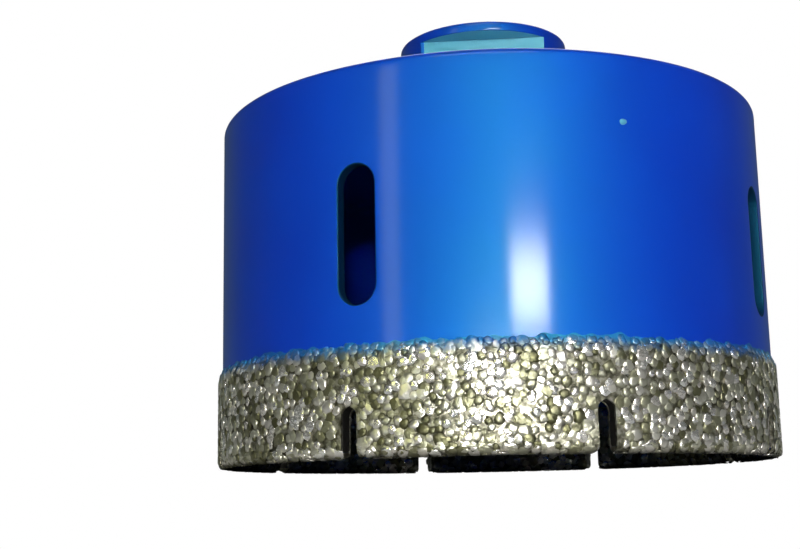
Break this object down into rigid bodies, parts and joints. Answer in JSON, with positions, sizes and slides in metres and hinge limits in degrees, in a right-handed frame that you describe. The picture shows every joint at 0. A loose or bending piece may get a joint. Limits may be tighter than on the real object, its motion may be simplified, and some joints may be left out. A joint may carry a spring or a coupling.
{
  "type": "hole saw",
  "caption": "Diamond-coated cup for cutting round holes in tile: slotted and notched wall, closed crown, and a threaded hub with wrench flats.",
  "frame": {"origin": "on the cup's axis, in the plane that the rim's end stands on", "axes": "+Z along the axis from the rim to the hub, -Y through the middle of one of the four core slots, +X through the next"},
  "size_m": [0.1, 0.1002, 0.0789],
  "materials": {
    "cup_paint": "glossy blue enamel on steel",
    "hub_paint": "glossy blue enamel on steel, thread bare",
    "weld_paint": "blue enamel over a weld bead",
    "grit_braze": "coarse diamond grit in nickel braze, glinting"
  },
  "bodies": {
    "root": {"cup": "cup_paint", "hub": "hub_paint", "hub_weld": "weld_paint", "diamond_grit": "grit_braze"}
  },
  "joints": []
}
